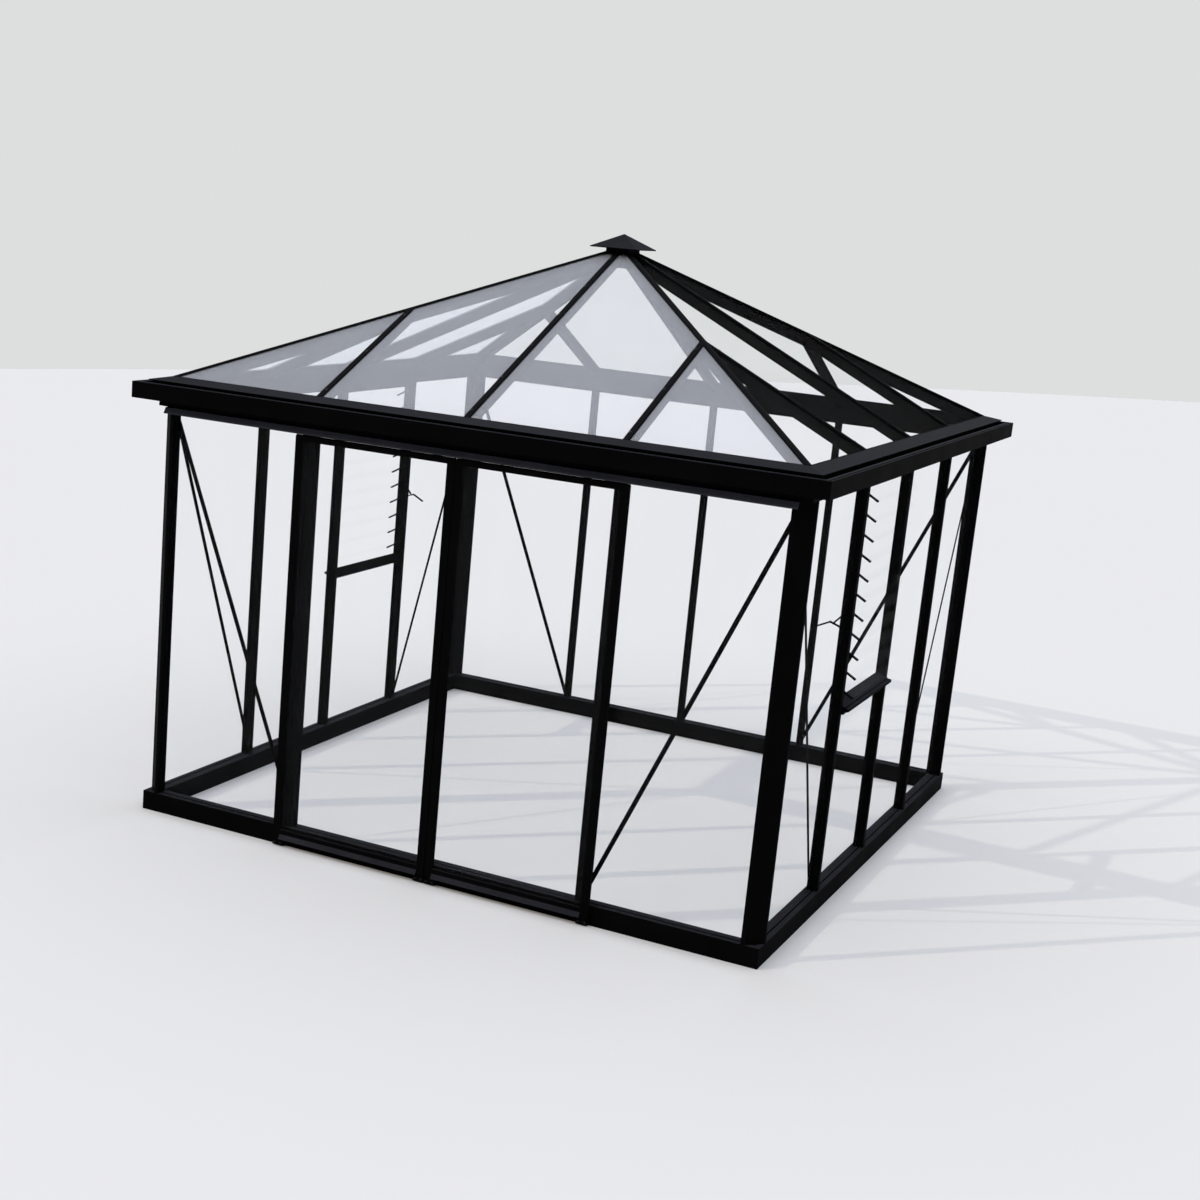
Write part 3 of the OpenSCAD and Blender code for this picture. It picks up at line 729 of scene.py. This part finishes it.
def cap_screws():
    """Domed screws down the caps of the rafters."""
    bm = bmesh.new()
    for start, end, normal in cap_lines():
        way = (end - start).normalized()
        length = (end - start).length - 2 * SCREW_END
        count = max(1, round(length / SCREW_PITCH))
        for i in range(count + 1):
            spot = start + way * (SCREW_END + length * i / count)
            add_screw(bm, axes(spot, way, normal.cross(way), normal), SCREW_RADIUS, SCREW_HEIGHT)
    make_piece("rafter_cap_screws", bm, steel, GREENHOUSE)


BOLT_RADIUS = 6.5 * MM
BOLT_HEIGHT = 4 * MM
BOLT_END = 16 * MM


def brace_bolts():
    """A bolt head on the inner face of each end of each brace."""
    bm = bmesh.new()
    for brace in solids("wall_braces"):
        size = brace.high - brace.low
        thin = 0 if size.x < size.y else 1
        inward = Vector((0, 0, 0))
        inward[thin] = -math.copysign(1, brace.centre[thin])
        face = brace.facing(inward)
        for low_end in (True, False):
            by_height = sorted(face, key=lambda c: c.z, reverse=not low_end)
            along = 1 - thin
            edge = by_height[0][along]
            end = [c for c in face if abs(c[along] - edge) < SAME_PLACE]
            spot = sum(end, Vector()) / len(end)
            centre = sum(face, Vector()) / len(face)
            spot += (centre - spot).normalized() * BOLT_END
            add_screw(bm, axes(spot, UP, inward.cross(UP), inward), BOLT_RADIUS, BOLT_HEIGHT)
    make_piece("brace_bolts", bm, steel, GREENHOUSE)


# ---- stage, light and camera ----

FLOOR_COLOUR = (0.807, 0.807, 0.823)
BACKDROP_COLOUR = (0.723, 0.738, 0.731)
FLOOR_CENTRE = (35.4, -6.0)
FLOOR_RADIUS = 53.5
FLOOR_SIDES = 180


def floor():
    """The large round studio floor, whose edge shows far behind the greenhouse."""
    bm = bmesh.new()
    middle = Matrix.Translation((*FLOOR_CENTRE, 0))
    bmesh.ops.create_circle(bm, cap_ends=True, segments=FLOOR_SIDES, radius=FLOOR_RADIUS, matrix=middle)
    mesh = bpy.data.meshes.new("studio_floor")
    bm.to_mesh(mesh)
    bm.free()
    mesh.materials.append(pale_floor("studio_floor", FLOOR_COLOUR))
    stage_floor = bpy.data.objects.new("studio_floor", mesh)
    bpy.context.scene.collection.objects.link(stage_floor)


SKY_LIGHT = 1.48
SKY_COLOUR = (0.94, 0.96, 1.0, 1)
SKY_FROM, SKY_FULL = math.radians(25), math.radians(50)
OVERHEAD_GLOW = 2.2
GLOW_FROM, GLOW_FULL = math.radians(22), math.radians(40)


def studio_world():
    """Soft light from overhead. Sight, mirrors and glass see the pale backdrop, which glows overhead."""
    world = bpy.data.worlds.new("studio")
    bpy.context.scene.world = world
    tree = node_tree(world)
    height = upward(tree, add(tree, "ShaderNodeTexCoord").outputs["Generated"])
    overhead = ramp(tree, height, math.sin(SKY_FROM), math.sin(SKY_FULL), smooth=True)
    glow = ramp(tree, height, math.sin(GLOW_FROM), math.sin(GLOW_FULL), 1.0, OVERHEAD_GLOW, smooth=True)
    light = add(tree, "ShaderNodeBackground", {
        "Color": SKY_COLOUR, "Strength": math_node(tree, "MULTIPLY", overhead, SKY_LIGHT)})
    seen = add(tree, "ShaderNodeBackground", {"Color": (*BACKDROP_COLOUR, 1), "Strength": glow})
    path = add(tree, "ShaderNodeLightPath").outputs
    sight = math_node(tree, "ADD", path["Is Camera Ray"], path["Is Glossy Ray"])
    sight = math_node(tree, "ADD", sight, path["Is Transmission Ray"], clamp=True)
    mix = add(tree, "ShaderNodeMixShader", {"Fac": sight, 1: light.outputs[0], 2: seen.outputs[0]})
    add(tree, "ShaderNodeOutputWorld", {"Surface": mix.outputs[0]})


SUN_BEARING = math.radians(45.8)
SUN_HEIGHT = math.radians(33.2)
SUN_STRENGTH = 0.75
SUN_COLOUR = (1.0, 0.88, 0.68)
SUN_WIDTH = math.radians(0.6)


def sun():
    """A weak, warm lamp from the front left, low enough to draw the frame's shadow on the floor."""
    lamp = bpy.data.lights.new("key_sun", "SUN")
    lamp.energy = SUN_STRENGTH
    lamp.color = SUN_COLOUR
    lamp.angle = SUN_WIDTH
    key = bpy.data.objects.new("key_sun", lamp)
    flat = math.cos(SUN_HEIGHT)
    shine = Vector((flat * math.cos(SUN_BEARING), flat * math.sin(SUN_BEARING), -math.sin(SUN_HEIGHT)))
    key.rotation_mode = "QUATERNION"
    key.rotation_quaternion = shine.to_track_quat("-Z", "Y")
    bpy.context.scene.collection.objects.link(key)


EYE = Vector((3.607, -8.493, 2.973))
LOOK_YAW = math.radians(25.79)
LOOK_PITCH = math.radians(-12.97)
LOOK_ROLL = math.radians(4.81)
LENS = 56.1
SENSOR = 36
SHIFT = (0.085, 0.025)
NEAREST, FARTHEST = 0.1, 300


def camera():
    """The photograph's viewing angle: from the front right, above the eaves."""
    data = bpy.data.cameras.new("camera")
    data.sensor_width = SENSOR
    data.lens = LENS
    data.shift_x, data.shift_y = SHIFT
    data.clip_start, data.clip_end = NEAREST, FARTHEST
    eye = bpy.data.objects.new("camera", data)
    flat = math.cos(LOOK_PITCH)
    ahead = Vector((-math.sin(LOOK_YAW) * flat, math.cos(LOOK_YAW) * flat, math.sin(LOOK_PITCH)))
    level = Vector((math.cos(LOOK_YAW), math.sin(LOOK_YAW), 0))
    rise = level.cross(ahead)
    right = level * math.cos(LOOK_ROLL) + rise * math.sin(LOOK_ROLL)
    eye.matrix_world = axes(EYE, right, right.cross(ahead), -ahead)
    bpy.context.scene.collection.objects.link(eye)
    bpy.context.scene.camera = eye


dress_nodes()
louvre_clips()
louvre_rods()
pane_seals()
leaf_brushes()
threshold_seal()
jamb_strips()
guide_shoes()
cap_screws()
brace_bolts()
floor()
studio_world()
sun()
camera()

# The most transparent surfaces that one line of sight crosses here, with room to spare
PANES_DEEP = 32

scene = bpy.context.scene
scene.view_settings.view_transform = "Standard"
scene.cycles.transparent_max_bounces = PANES_DEEP
